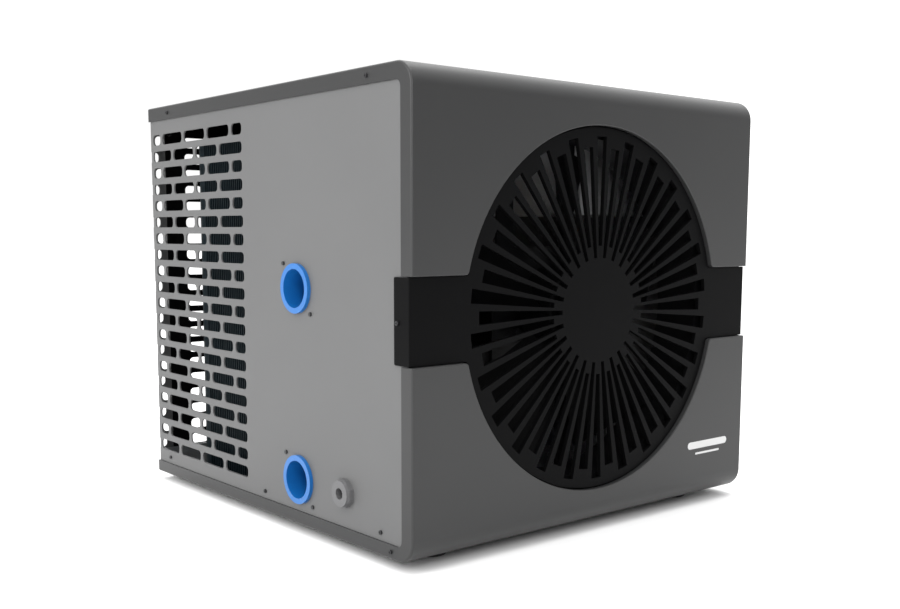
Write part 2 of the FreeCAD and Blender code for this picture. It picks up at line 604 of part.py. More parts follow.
def water_ports():
    """Blue bushes clamped through the side panel, each on its own ring seal."""
    seals, screws = [], []
    for name, height in PORTS.items():
        centre = ("port_setback", height)
        inside = f"(-{PANEL_IN} + 2)"
        ring = rod(name + "_ring", "x", "port_ring", ("-port_stand", f"-{PANEL_OUT}"), centre)
        barrel = rod(name + "_barrel", "x", "port_tube", (f"-{PANEL_OUT} - 1", "-port_stand + port_length"), centre)
        plate = rod(name + "_plate", "x", "34", (inside, f"{inside} + 4"), centre)
        bore = rod(name + "_bore", "x", "port_bore", ("-port_stand - 1", "-port_stand + port_length + 1"), centre)
        tools = [bore]
        for i, turn in enumerate((1, -1)):
            spot = (f"port_setback + {turn} * port_screw_offset", f"{height} + {turn} * port_screw_offset")
            tools.append(rod(f"{name}_screw_hole_{i}", "x", "screw_hole", (f"{inside} - 1", f"{inside} + 5"), spot))
            screws.append(screw(f"{name}_screw_{i}", "x", 1, f"-{PANEL_OUT}", spot))
        keep(name, cut(name, fuse(name + "_body", ring, barrel, plate), *tools))
        seal = rod(name + "_seal_disc", "x", "33", (f"-{PANEL_IN}", inside), centre)
        bores = [rod(name + "_seal_bore", "x", "port_tube", (f"-{PANEL_IN} - 1", f"{inside} + 1"), centre)]
        for i, turn in enumerate((1, -1)):
            spot = (f"port_setback + {turn} * port_screw_offset", f"{height} + {turn} * port_screw_offset")
            bores.append(rod(f"{name}_seal_hole_{i}", "x", "screw_hole", (f"-{PANEL_IN} - 1", f"{inside} + 1"), spot))
        seals.append(cut(name + "_seal", seal, *bores))
    keep("port_seals", gather("port_seals", *seals))
    keep("port_screws", gather("port_screws", *screws))


def cable_gland():
    centre = ("gland_setback", f"{FLOOR} + gland_height")
    turn = Rotation(Vector(1, 0, 0), 22.5)
    nut = prism("gland_hex", "x", 8, "gland_nut", (f"-{PANEL_OUT} - 4.2", f"-{PANEL_OUT}"), centre)
    nut.Placement = Placement(nut.Placement.Base, turn * TURNS["x"])
    face = cone("gland_face", "x", "gland_face", "gland_nut - 0.9", ("-gland_stand", f"-{PANEL_OUT} - 4.2"), centre)
    neck = rod("gland_neck", "x", "8", (f"-{PANEL_OUT} - 1", f"-{PANEL_IN} + 14"), centre)
    bore = rod("gland_bore", "x", "gland_bore", ("-gland_stand - 1", f"-{PANEL_IN} + 15"), centre)
    keep("cable_gland", cut("cable_gland", fuse("gland_body", nut, face, neck), bore))
    lock = prism("gland_lock_hex", "x", 6, "12.5", (f"-{PANEL_IN}", f"-{PANEL_IN} + 5"), centre)
    hole = rod("gland_lock_bore", "x", "8.03", (f"-{PANEL_IN} - 1", f"-{PANEL_IN} + 6"), centre)
    keep("gland_lock_nut", cut("gland_lock_nut", lock, hole))


# ---------------------------------------------------------------- fan, shroud and motor
def fan_shroud():
    """Inner front plate with the orifice ring that the fan runs in."""
    plate_y = (f"{FRONT} + shroud_setback", f"{FRONT} + shroud_setback + 1.2")
    plate = block("shroud_plate", (f"-({PANEL_IN} - 0.4)", f"{PANEL_IN} - 0.4"), plate_y,
                  (PAN_TOP, f"{CEILING} - shell_gauge - 1.2"))
    ring = rod("shroud_ring", "y", "orifice_radius + 1.5", (plate_y[0], f"{FRONT} + shroud_setback + orifice_depth"),
               ("0", AXIS))
    hole = rod("shroud_hole", "y", "orifice_radius", (f"{FRONT} + shroud_setback - 1",
                                                      f"{FRONT} + shroud_setback + orifice_depth + 1"), ("0", AXIS))
    keep("fan_shroud", cut("fan_shroud", fuse("shroud_body", plate, ring), hole))


def blade_section(radius, chord, pitch, skew, thick=1.8, camber=0.09):
    """Closed curved section of a fan blade, square to a radius."""
    turn = Rotation(Vector(0, 0, 1), pitch)
    half, rise = chord / 2, chord * camber
    spots = [(-half, 0), (0, rise + thick / 2), (half, 0), (half, -0.6), (0, rise - thick / 2), (-half, -0.6)]
    points = [turn.multVec(Vector(x + skew, y, 0)) for x, y in spots]
    edges = [Part.Arc(*points[:3]).toShape(), Part.LineSegment(points[2], points[3]).toShape(),
             Part.Arc(*points[3:]).toShape(), Part.LineSegment(points[5], points[0]).toShape()]
    wire = Part.Wire(edges)
    # section plane: local x runs round the axis, local y along it, the section faces outwards
    wire.Placement = Placement(Vector(0, 0, radius), Rotation(Vector(1, 0, 0), Vector(0, 1, 0), Vector(0, 0, 1), "ZXY"))
    return wire


def fan():
    """Hub and swept blades on one shaft, clamped by a nut."""
    axis_z, start, depth = value(AXIS), value(f"{FRONT} + fan_setback"), value("fan_depth")
    hub, tip = value("fan_hub"), value("fan_radius")
    spread = [(hub - 3, 34, 46, 0), (hub + 30, 56, 38, 2), (hub + 66, 78, 31, 5), (tip + 2, 92, 26, 10)]
    blade = Part.makeLoft([blade_section(*section) for section in spread], True, False)
    middle = Vector(0, start + depth / 2, axis_z)
    blades = []
    for i in range(int(value("blade_count"))):
        turned = blade.copy()
        turned.rotate(Vector(), Vector(0, 1, 0), 360 / value("blade_count") * i)
        turned.translate(middle)
        blades.append(turned)
    forward = Vector(0, 1, 0)
    shell = Part.makeCylinder(hub, depth, Vector(0, start, axis_z), forward)
    shell = shell.makeFillet(5, [e for e in shell.Edges if same(e.BoundBox.YMax, start) and len(e.Vertexes) == 1])
    hollow = Part.makeCylinder(hub - 3, depth, Vector(0, start + 3, axis_z), forward)
    post = Part.makeCylinder(9, depth - 3, Vector(0, start + 3, axis_z), forward)
    bore = Part.makeCylinder(value("shaft_radius + shaft_fit"), depth + 2, Vector(0, start - 1, axis_z), forward)
    swept = Part.makeCylinder(tip, 3 * depth, Vector(0, start - depth, axis_z), forward)
    swept = swept.cut(Part.makeCylinder(hub - 1, 3 * depth, Vector(0, start - depth, axis_z), forward))
    solid = shell.cut(hollow).fuse([post] + [b.common(swept) for b in blades]).cut(bore).removeSplitter()
    keep("fan", formed("fan_solid", solid))

    shaft_y = (f"{FRONT} + fan_setback - 7", f"{FRONT} + motor_setback + motor_length + 1")
    keep("fan_shaft", rod("fan_shaft", "y", "shaft_radius", shaft_y, ("0", AXIS)))
    nut_y = (f"{FRONT} + fan_setback - 5.5", f"{FRONT} + fan_setback")
    nut = prism("fan_nut_hex", "y", 6, "7.5", nut_y, ("0", AXIS))
    bore = rod("fan_nut_bore", "y", "shaft_radius + shaft_fit", (f"{nut_y[0]} - 1", f"{nut_y[1]} + 1"), ("0", AXIS))
    keep("fan_nut", cut("fan_nut", nut, bore))


def motor():
    """Asynchronous fan motor: stator in a drum, rotor on the fan shaft, a ball bearing at each end."""
    start, stop = f"{FRONT} + motor_setback", f"{FRONT} + motor_setback + motor_length"
    axle = ("0", AXIS)
    drum = rod("motor_drum_outside", "y", "motor_radius", (start, f"{stop} - 3"), axle)
    room = rod("motor_drum_room", "y", "motor_radius - 3", (f"{start} + 10", stop), axle)
    seat = rod("motor_front_seat", "y", "bearing_radius + 0.02", (f"{start} + 3", f"{start} + 11"), axle)
    mouth = rod("motor_mouth", "y", "8", (f"{start} - 1", f"{start} + 4"), axle)
    holes, screws = [], []
    for i in range(4):
        angle = math.radians(45 + 90 * i)
        spot = (f"{34 * math.cos(angle):.4f}", f"{AXIS} + {34 * math.sin(angle):.4f}")
        holes.append(rod(f"motor_screw_hole_{i}", "y", "2.05", (f"{start} - 1", f"{start} + 8"), spot))
        head = rod(f"motor_screw_head_{i}", "y", "4", (f"{start} - 5", f"{start} - 2"), spot)
        shank = rod(f"motor_screw_shank_{i}", "y", "2", (f"{start} - 3", f"{start} + 7"), spot)
        screws.append(fuse(f"motor_screw_{i}", head, shank))
    keep("motor_housing", cut("motor_housing", drum, fuse("motor_cavity", room, seat, mouth), *holes))
    keep("motor_screws", gather("motor_screws", *screws))
    lid = rod("motor_lid", "y", "motor_radius", (f"{stop} - 3", stop), axle)
    hub = rod("motor_lid_hub", "y", "bearing_radius + 3", (f"{stop} - 12", f"{stop} - 3"), axle)
    rear_seat = rod("motor_rear_seat", "y", "bearing_radius + 0.02", (f"{stop} - 13", f"{stop} - 4"), axle)
    rear_mouth = rod("motor_rear_mouth", "y", "8", (f"{stop} - 5", f"{stop} + 1"), axle)
    keep("motor_end_cover", cut("motor_end_cover", fuse("motor_lid_body", lid, hub),
                                fuse("motor_lid_cavity", rear_seat, rear_mouth)))
    bearings = [tube(f"bearing_{name}", "y", "bearing_radius", "shaft_radius + shaft_fit",
                     (f"{low}", f"{low} + bearing_width"), axle)
                for name, low in (("front", f"{start} + 3"), ("rear", f"{stop} - 11.5"))]
    keep("motor_bearings", gather("motor_bearings", *bearings))
    keep("motor_stator", tube("motor_stator", "y", "motor_radius - 3.05", "26", (f"{start} + 12", f"{stop} - 14"), axle))
    keep("motor_rotor", tube("motor_rotor", "y", "25.4", "shaft_radius + 0.02", (f"{start} + 13", f"{stop} - 15"), axle))

    bracket_y = (f"{FRONT} + motor_setback - 2", f"{FRONT} + motor_setback")
    plate = block("bracket_plate", ("-55", "55"), bracket_y, (f"{AXIS} - 55", f"{AXIS} + 55"))
    straps = [block(f"bracket_strap_{name}", (low, high), bracket_y, (PAN_TOP, f"{CEILING} - shell_gauge"))
              for name, low, high in (("left", "-50", "-30"), ("right", "30", "50"))]
    feet, foot_y = [], (bracket_y[0], f"{bracket_y[1]} + 14")
    for name, low, high in (("left", "-50", "-30"), ("right", "30", "50")):
        feet.append(block(f"bracket_foot_{name}_low", (low, high), foot_y, (PAN_TOP, f"{PAN_TOP} + 2")))
        feet.append(block(f"bracket_foot_{name}_high", (low, high), foot_y,
                          (f"{CEILING} - shell_gauge - 2", f"{CEILING} - shell_gauge")))
    mouth = rod("bracket_mouth", "y", "13", (f"{bracket_y[0]} - 1", f"{bracket_y[1]} + 1"), axle)
    pass_holes = []
    for i in range(4):
        angle = math.radians(45 + 90 * i)
        spot = (f"{34 * math.cos(angle):.4f}", f"{AXIS} + {34 * math.sin(angle):.4f}")
        pass_holes.append(rod(f"bracket_hole_{i}", "y", "2.2", (f"{bracket_y[0]} - 1", f"{bracket_y[1]} + 1"), spot))
    keep("motor_bracket", cut("motor_bracket", fuse("bracket_body", plate, *straps, *feet), mouth, *pass_holes))


# ---------------------------------------------------------------- air heat exchanger
def comb(start, end, depth):
    """Corners along a straight face that is grooved between its fins; depth points into the face."""
    along = end - start
    count = round(along.Length / 4)
    fin = value("coil_fin")
    step = (along.Length - fin) / count
    along.normalize()
    spots = [start]
    for i in range(count):
        low, high = start + along * (step * i + fin), start + along * (step * (i + 1))
        spots += [low, low + depth, high + depth, high]
    return spots + [end]


def coil_run(offset, z, right, front):
    """Lines and arc of one level run, offset inward from the coil's outer face, from right end to front end."""
    x, y = value("coil_side"), value("coil_back")
    bend = value("coil_bend")
    centre = Vector(x + bend, y - bend, z)
    radius = bend - offset
    slant = Vector(-1, 1, 0) * (radius / math.sqrt(2))
    rear, side = centre + Vector(0, radius, 0), centre + Vector(-radius, 0, 0)
    return [Part.LineSegment(Vector(right, y - offset, z), rear).toShape(),
            Part.Arc(rear, centre + slant, side).toShape(),
            Part.LineSegment(side, Vector(x + offset, front, z)).toShape()]


def evaporator():
    """Finned coil round the rear left corner: comb-edged fin packs, two end boxes and one serpentine tube."""
    depth, groove = value("coil_depth"), value("coil_groove")
    low, high = value("coil_bottom"), value("coil_top")
    right, front = value("coil_right"), value("coil_front_end")
    outer = coil_run(0, low, right, front)
    inner = coil_run(depth, low, right, front)
    faces = []
    for run, way in ((outer, 1), (inner, -1)):
        rear, bend, side = run
        rear_face = comb(rear.Vertexes[0].Point, rear.Vertexes[1].Point, Vector(0, -way * groove, 0))
        side_face = comb(side.Vertexes[0].Point, side.Vertexes[1].Point, Vector(way * groove, 0, 0))
        faces.append([*Part.makePolygon(rear_face).Edges, bend, *Part.makePolygon(side_face).Edges])
    front_cap = Part.makeLine(outer[2].Vertexes[1].Point, inner[2].Vertexes[1].Point)
    right_cap = Part.makeLine(inner[0].Vertexes[0].Point, outer[0].Vertexes[0].Point)
    outline = Part.Wire([*faces[0], front_cap, *faces[1][::-1], right_cap])
    pack = Part.Face(outline).extrude(Vector(0, 0, high - low))

    pitch, count, radius = value("coil_pitch"), int(value("coil_rows")), value("coil_tube")
    first = (low + high) / 2 - pitch * (count - 1) / 2
    rows = [first + pitch * i for i in range(count)]
    columns = depth - value("coil_column"), value("coil_column")
    bores = [swept(coil_run(offset, z, right + 10, front - 10), radius) for offset in columns for z in rows]
    # the pack is stacked in three lengths: rear, bend and side
    corner_x, corner_y, gap = value("coil_side + coil_bend"), value("coil_back - coil_bend"), 0.8
    gaps = [Part.makeBox(gap, 2 * depth, high, Vector(corner_x, corner_y, low - 1)),
            Part.makeBox(2 * depth, gap, high, Vector(corner_x - 2 * depth, corner_y - gap, low - 1))]
    keep("coil_fins", formed("coil_fin_pack", pack.cut(bores + gaps)))

    bore_group = formed("coil_bores", Part.makeCompound(bores))
    wall, room_z = 1.2, (f"{PAN_TOP} - 1", "coil_top + 5")
    across = "coil_back - coil_depth", "coil_back"
    box = block("coil_end_right_box", ("coil_right", "coil_right + coil_end"), across, (PAN_TOP, "coil_top + 4"))
    room = block("coil_end_right_room", (f"coil_right + {wall}", "coil_right + coil_end + 1"),
                 (f"{across[0]} + {wall}", f"{across[1]} - {wall}"), room_z)
    plates = [cut("coil_end_right", box, room, bore_group)]
    across = "coil_side", "coil_side + coil_depth"
    box = block("coil_end_front_box", across, ("coil_front_end - coil_end", "coil_front_end"),
                (PAN_TOP, "coil_top + 4"))
    room = block("coil_end_front_room", (f"{across[0]} + {wall}", f"{across[1]} - {wall}"),
                 ("coil_front_end - coil_end - 1", f"coil_front_end - {wall}"), room_z)
    plates.append(cut("coil_end_front", box, room, bore_group))
    keep("coil_end_plates", gather("coil_end_plates", *plates))

    runs = [(columns[0], z) for z in rows] + [(columns[1], z) for z in rows[::-1]]
    outlet_x = right + value("coil_end") + 8
    edges, previous = [], None
    for i, (offset, z) in enumerate(runs):
        begin = outlet_x if i in (0, len(runs) - 1) else right + 2.5
        run = coil_run(offset, z, begin, front - 2.5)
        spots = [run[0].Vertexes[0].Point, run[-1].Vertexes[1].Point]
        outward = Vector(1, 0, 0)
        if i % 2:
            run.reverse()
            spots.reverse()
            outward = Vector(0, -1, 0)
        if previous:
            middle = (previous + spots[0]) / 2 + outward * ((spots[0] - previous).Length / 2)
            edges.append(Part.Arc(previous, middle, spots[0]).toShape())
        edges += run
        previous = spots[1]
    keep("coil_tubes", formed("coil_serpentine", swept(edges, radius)))
    back = value("coil_back")
    return [back - offset for offset in columns], rows[0], outlet_x


# ---------------------------------------------------------------- pipes
def swept(edges, radius):
    """Round bar along a chain of tangent lines and arcs."""
    wire = Part.Wire(edges)
    start = edges[0].Vertexes[0].Point
    ring = Part.Wire(Part.makeCircle(radius, start, edges[0].tangentAt(edges[0].FirstParameter)))
    return wire.makePipeShell([ring], True, True)


def pipe(name, points, radius, bend=12):
    """Tube through the corners, with bends of one radius, as its own sub-part."""
    return keep(name, pipe_run(name + "_run", points, radius, bend))


def pipe_run(name, points, radius, bend=12):
    spots = [Vector(*p) for p in points]
    edges, here = [], spots[0]
    for before, corner, after in zip(spots, spots[1:], spots[2:]):
        back, on = (before - corner).normalize(), (after - corner).normalize()
        half_turn = back.getAngle(on) / 2
        setback = bend / math.tan(half_turn)
        middle = corner + (back + on).normalize() * (bend / math.sin(half_turn) - bend)
        start, end = corner + back * setback, corner + on * setback
        if (start - here).Length > 1e-6:
            edges.append(Part.LineSegment(here, start).toShape())
        edges.append(Part.Arc(start, middle, end).toShape())
        here = end
    if (spots[-1] - here).Length > 1e-6:
        edges.append(Part.LineSegment(here, spots[-1]).toShape())
    return formed(name, swept(edges, radius))


# ---------------------------------------------------------------- compressor and its accumulator
def compressor():
    """Sealed rotary compressor on three rubber mounts, with the suction accumulator beside it."""
    east, north = "compressor_east", "compressor_north"
    can = new_body("compressor_body")
    outline = sketch(can, "can_outline", "XY_Plane", f"{PAN_TOP} + 17")
    circle(outline, east, north, "compressor_radius")
    top_z, low_z = value("compressor_top"), value(f"{PAN_TOP} + 17")
    pad(can, outline, f"compressor_top - ({PAN_TOP} + 17)")
    fillet(can, "30", lambda b: same(b.ZMin, top_z))
    fillet(can, "12", lambda b: same(b.ZMax, low_z))
    plate = rod("can_foot_plate", "z", "66", (f"{PAN_TOP} + 15", f"{PAN_TOP} + 18"), (east, north))
    cover = block("can_terminal_cover", (f"{east} - 20", f"{east} + 20"), (f"{north} - compressor_radius - 14", north),
                  ("120", "165"))
    stub_out = rod("can_discharge_stub", "z", "7", ("compressor_top - 4", "compressor_top + 8"), (east, north))
    stub_in = rod("can_suction_stub", "x", "8", (f"{east} + compressor_radius - 4", f"{east} + compressor_radius + 4"),
                  (north, "52"))
    spots, holes, rubbers, bolts = [], [], [], []
    for i in range(3):
        angle = math.radians(90 + 120 * i)
        spots.append((f"{east} + {57 * math.cos(angle):.4f}", f"{north} + {57 * math.sin(angle):.4f}"))
    for i, spot in enumerate(spots):
        holes.append(rod(f"can_foot_hole_{i}", "z", "3.2", (f"{PAN_TOP} + 14", f"{PAN_TOP} + 19"), spot))
        puck = rod(f"can_mount_{i}_puck", "z", "8", (PAN_TOP, f"{PAN_TOP} + 15"), spot)
        bore = rod(f"can_mount_{i}_bore", "z", "3.2", (f"{PAN_TOP} - 1", f"{PAN_TOP} + 16"), spot)
        rubbers.append(cut(f"can_mount_{i}", puck, bore))
        head = prism(f"can_bolt_{i}_head", "z", 6, "5.5", (f"{PAN_TOP} + 18", f"{PAN_TOP} + 22"), spot)
        shank = rod(f"can_bolt_{i}_shank", "z", "3", (PAN_TOP, f"{PAN_TOP} + 19"), spot)
        bolts.append(fuse(f"can_bolt_{i}", head, shank))
    room = [rod(f"can_bolt_room_{i}", "z", "6.5", (f"{PAN_TOP} + 18", f"{PAN_TOP} + 24"), spot)
            for i, spot in enumerate(spots)]
    keep("compressor", cut("compressor", fuse("can_all", can, plate, cover, stub_out, stub_in), *holes, *room))
    keep("compressor_mounts", gather("compressor_mounts", *rubbers))
    keep("compressor_bolts", gather("compressor_bolts", *bolts))

    bottle = new_body("accumulator_body")
    outline = sketch(bottle, "bottle_outline", "XY_Plane", "accumulator_bottom")
    circle(outline, "accumulator_east", north, "accumulator_radius")
    pad(bottle, outline, "accumulator_top - accumulator_bottom")
    for level in ("accumulator_top", "accumulator_bottom"):
        z = value(level)
        fillet(bottle, "12", lambda b, z=z: same(b.ZMin, z) and same(b.ZMax, z))
    middle, low = value("accumulator_east"), value("accumulator_bottom")
    spout = pipe_run("bottle_spout", [(middle, value(north), low + 4), (middle, value(north), 52),
                                      (value(f"{east} + compressor_radius") + 4, value(north), 52)], 6)
    keep("accumulator", fuse("accumulator", bottle, spout))


def refrigerant_circuit(columns, coil_low, coil_end):
    """Reversing valve, drier and the copper runs that join them to the exchangers."""
    x, y, z = (value(n) for n in ("valve_east", "valve_north", "valve_height"))
    reach = value("valve_radius")
    chest = rod("valve_chest", "x", "valve_radius", ("valve_east - 35", "valve_east + 35"),
                ("valve_north", "valve_height"))
    stubs = [rod("valve_stub_top", "z", "6.5", ("valve_height", "valve_height + valve_radius + 3"),
                 ("valve_east", "valve_north"))]
    for i, shift in enumerate((-1, 0, 1)):
        stubs.append(rod(f"valve_stub_{i}", "z", "6.5", ("valve_height - valve_radius - 3", "valve_height"),
                         (f"valve_east + {shift} * valve_port_pitch", "valve_north")))
    stem = rod("valve_stem", "y", "5", ("valve_north - 36", "valve_north"), ("valve_east", "valve_height"))
    keep("reversing_valve", fuse("reversing_valve", chest, stem, *stubs))
    keep("valve_coil", tube("valve_coil", "y", "13", "5.02", ("valve_north - 34", "valve_north - 12"),
                            ("valve_east", "valve_height")))

    low, high = z - reach - 3, z + reach + 3
    pitch = value("valve_port_pitch")
    can = value("compressor_east"), value("compressor_north")
    bottle = value("accumulator_east")
    can_top = value("compressor_top")
    pipe("discharge_pipe", [(*can, can_top + 8), (*can, 300), (x, y, 300), (x, y, high)], 5)
    pipe("suction_pipe", [(x, y, low), (x, y, 220), (x, 104, 220), (bottle, 104, 220), (bottle, can[1], 220),
                          (bottle, can[1], value("accumulator_top"))], 6)
    gas, liquid = value("tank_east + riser_gas"), value("tank_east + riser_liquid")
    north, lid = value("port_setback"), value("tank_top") + 22
    pipe("exchanger_gas_pipe", [(x - pitch, y, low), (x - pitch, y, 234), (gas, y, 234),
                                (gas, y, 290), (gas, north, 290), (gas, north, lid)], 6)
    drier = value("drier_east"), value("drier_north")
    pipe("liquid_pipe", [(liquid, north, lid), (liquid, north, 284), (liquid, drier[1], 284), (*drier, 284),
                         (*drier, 236)], 4, bend=8)
    centre = "drier_east", "drier_north"
    drum = rod("drier_drum", "z", "12", ("176", "230"), centre)
    ends = [cone("drier_top", "z", "12", "5", ("230", "236"), centre),
            cone("drier_bottom", "z", "5", "12", ("170", "176"), centre)]
    keep("filter_drier", fuse("filter_drier", drum, *ends))
    pipe("capillary_tube", [(*drier, 170), (*drier, coil_low), (drier[0], 120, coil_low), (191, 120, coil_low),
                            (191, columns[0], coil_low), (coil_end, columns[0], coil_low)], 3, bend=8)
    pipe("evaporator_gas_pipe", [(coil_end, columns[1], coil_low), (191, columns[1], coil_low),
                                 (191, columns[1], 236), (191, 140, 236), (x + pitch, 140, 236), (x + pitch, y, 236),
                                 (x + pitch, y, low)], 6)


# ---------------------------------------------------------------- water heat exchanger
def water_exchanger():
    """Plastic tank with a titanium coil; water enters and leaves through the two ports' bushes."""
    centre = ("tank_east", "port_setback")
    outside = rod("tank_outside", "z", "tank_radius", (PAN_TOP, "tank_top - 2"), centre)
    rim = rod("tank_rim", "z", "tank_radius + 5", ("tank_top - 4", "tank_top"), centre)
    room = rod("tank_room", "z", "tank_radius - 3.5", ("tank_bottom", "tank_top + 1"), centre)
    under = rod("tank_under", "z", "tank_radius - 3.5", (f"{PAN_TOP} - 1", "tank_bottom - 4"), centre)
    necks, bores, unions = [], [], []
    mouth = "(-port_stand + port_length)"
    for name, height in PORTS.items():
        axis_at = ("port_setback", height)
        necks.append(rod(name + "_neck", "x", "port_tube", (mouth, "tank_east"), axis_at))
        bores.append(rod(name + "_neck_bore", "x", "port_stop", (f"{mouth} - 1", "tank_east"), axis_at))
        ring = prism(name + "_union_hex", "x", 8, "25", (f"{mouth} - 10", f"{mouth} + 7"), axis_at)
        hole = rod(name + "_union_hole", "x", "port_tube", (f"{mouth} - 11", f"{mouth} + 8"), axis_at)
        unions.append(cut(name + "_union", ring, hole))
    cavity = fuse("tank_cavity", room, *bores)
    keep("exchanger_tank", cut("exchanger_tank", fuse("tank_all", outside, rim, *necks), cavity, under))
    keep("port_unions", gather("port_unions", *unions))

    riser_spots = [(f"tank_east + {shift}", "port_setback") for shift in ("riser_gas", "riser_liquid")]
    lid = rod("lid_disc", "z", "tank_radius + 5", ("tank_top", "tank_top + 6"), centre)
    holes = [rod(f"lid_hole_{i}", "z", "riser_radius", ("tank_top - 1", "tank_top + 7"), spot)
             for i, spot in enumerate(riser_spots)]
    probe_hole = rod("lid_probe_hole", "z", "3", ("tank_top - 1", "tank_top + 7"), centre)
    keep("exchanger_lid", cut("exchanger_lid", lid, *holes, probe_hole))
    probe = rod("switch_probe", "z", "3", ("tank_top - 30", "tank_top + 7"), centre)
    neck = rod("switch_neck", "z", "9", ("tank_top + 6", "tank_top + 12"), centre)
    case = block("switch_case", ("tank_east - 11", "tank_east + 11"), ("port_setback - 12", "port_setback + 12"),
                 ("tank_top + 12", "tank_top + 34"))
    keep("flow_switch", fuse("flow_switch", probe, neck, case))

    start, turns, rise = value("tank_bottom") + 14, 9.5, 19
    x, y, top = value("tank_east"), value("port_setback"), value("tank_top") + 22
    helix = Part.makeHelix(rise, rise * turns, -value("riser_liquid"))
    helix.translate(Vector(x, y, start))
    edge = helix.Edges[0]
    tube_radius = value("riser_radius")
    low, high = edge.valueAt(edge.FirstParameter), edge.valueAt(edge.LastParameter)
    ring = Part.Wire(Part.makeCircle(tube_radius, low, edge.tangentAt(edge.FirstParameter)))
    coil = helix.makePipeShell([ring], True, True)
    # the low end turns in and rises through the middle of the coil
    inner = Vector(x + value("riser_gas"), y, low.z)
    runs = [Part.makeCylinder(tube_radius, top - high.z, high), Part.makeCylinder(tube_radius, top - low.z, inner),
            Part.makeCylinder(tube_radius, low.x - inner.x, inner, Vector(1, 0, 0))]
    elbows = [Part.makeSphere(tube_radius, spot) for spot in (low, inner, high)]
    keep("exchanger_coil", formed("exchanger_coil_tube", coil.fuse(runs + elbows)))


# ---------------------------------------------------------------- electrics
def electrics():
    """Open-topped sheet box against the right-hand side, its lid and the power board."""
    wall = "1.5"
    spans = ("box_west", PANEL_IN), ("box_front", "box_rear"), ("box_floor", "box_top")
    inner = [(f"{low} + {wall}", f"{high} - {wall}") for low, high in spans]
    inner[2] = (f"box_floor + {wall}", "box_top + 1")
    keep("electrical_box", cut("electrical_box", block("box_block", *spans), block("box_room", *inner)))
    keep("electrical_lid", block("electrical_lid", *spans[:2], ("box_top", f"box_top + {wall}")))
    floor = f"box_floor + {wall}"
    board = block("board_sheet", ("box_west + 12", "box_west + 134"), ("box_front + 14", "box_rear - 14"),
                  (f"{floor} + 8", f"{floor} + 9.6"))
    pieces = [board]
    for i, (east, north) in enumerate(((18, 20), (128, 20), (18, 130), (128, 130))):
        pieces.append(rod(f"board_post_{i}", "z", "3", (floor, f"{floor} + 9"),
                          (f"box_west + {east}", f"box_front + {north}")))
    for i, (east, north, wide, deep, tall) in enumerate(((24, 34, 20, 16, 18), (50, 34, 20, 16, 18), (76, 34, 20, 16, 18),
                                                          (26, 70, 42, 36, 34), (84, 70, 34, 44, 12))):
        pieces.append(block(f"board_part_{i}", (f"box_west + {east}", f"box_west + {east + wide}"),
                            (f"box_front + {north}", f"box_front + {north + deep}"),
                            (f"{floor} + 9", f"{floor} + {9 + tall}")))
    pieces.append(rod("board_capacitor", "z", "13", (f"{floor} + 9", f"{floor} + 59"),
                      ("box_west + 116", "box_front + 40")))
    keep("power_board", fuse("power_board", *pieces))


BUTTONS = {"button_power": -33, "button_mode": -11, "button_down": 11, "button_up": 33}


def control_panel():
    """Flush panel in the top cover: a framed display window and four push buttons over tact switches."""
    def spread(half_x, half_y):
        return ((f"panel_east - {half_x}", f"panel_east + {half_x}"),
                (f"panel_north - {half_y}", f"panel_north + {half_y}"))

    under = f"({CEILING} - shell_gauge)"
    face = f"({CEILING} - bezel_recess)"
    plug = block("bezel_plug", *spread("(bezel_length / 2 - 0.15)", "(bezel_width / 2 - 0.15)"), (f"{under} - 1", face))
    frame = block("bezel_frame", *spread("(bezel_length / 2 + 3)", "(bezel_width / 2 + 3)"), (f"{under} - 11", under))
    room = block("bezel_room", *spread("(bezel_length / 2 + 1.5)", "(bezel_width / 2 + 1.5)"),
                 (f"{under} - 12", f"{under} - 2"))
    window_at = ("panel_east - 25", "panel_east + 25"), ("panel_north - 3", "panel_north + 21")
    opening = block("bezel_window_hole", *window_at, (f"{under} - 3", f"{face} + 1"))
    holes = []
    for name, shift in BUTTONS.items():
        spot = (f"panel_east + {shift}", "panel_north - 14")
        holes.append(rod(name + "_hole", "z", "button_radius + button_fit", (f"{under} - 3", f"{face} + 1"), spot))
    keep("control_bezel", cut("control_bezel", fuse("bezel_body", plug, frame), room, opening, *holes))
    keep("control_window", block("control_window", *window_at, (f"{under} - 2", face)))

    sheet_z = (f"{under} - 10.6", f"{under} - 9")
    board = [block("control_board_sheet", *spread("(bezel_length / 2 + 1.5)", "(bezel_width / 2 + 1.5)"), sheet_z),
             block("control_display", *window_at, (f"{under} - 9.5", f"{under} - 2.2"))]
    for name, shift in BUTTONS.items():
        spot = (f"panel_east + {shift}", "panel_north - 14")
        board.append(rod(name + "_switch", "z", "3", (f"{under} - 9.5", f"{under} - 6"), spot))
        cap = rod(name + "_cap", "z", "button_radius", (f"{under} - 3.4", CEILING), spot)
        collar = rod(name + "_collar", "z", "button_radius + 1.2", (f"{under} - 3.4", f"{under} - 2.2"), spot)
        stem = rod(name + "_stem", "z", "1.6", (f"{under} - 5.1", f"{under} - 3"), spot)
        keep(name, fuse(name, cap, collar, stem))
    keep("control_board", fuse("control_board", *board))


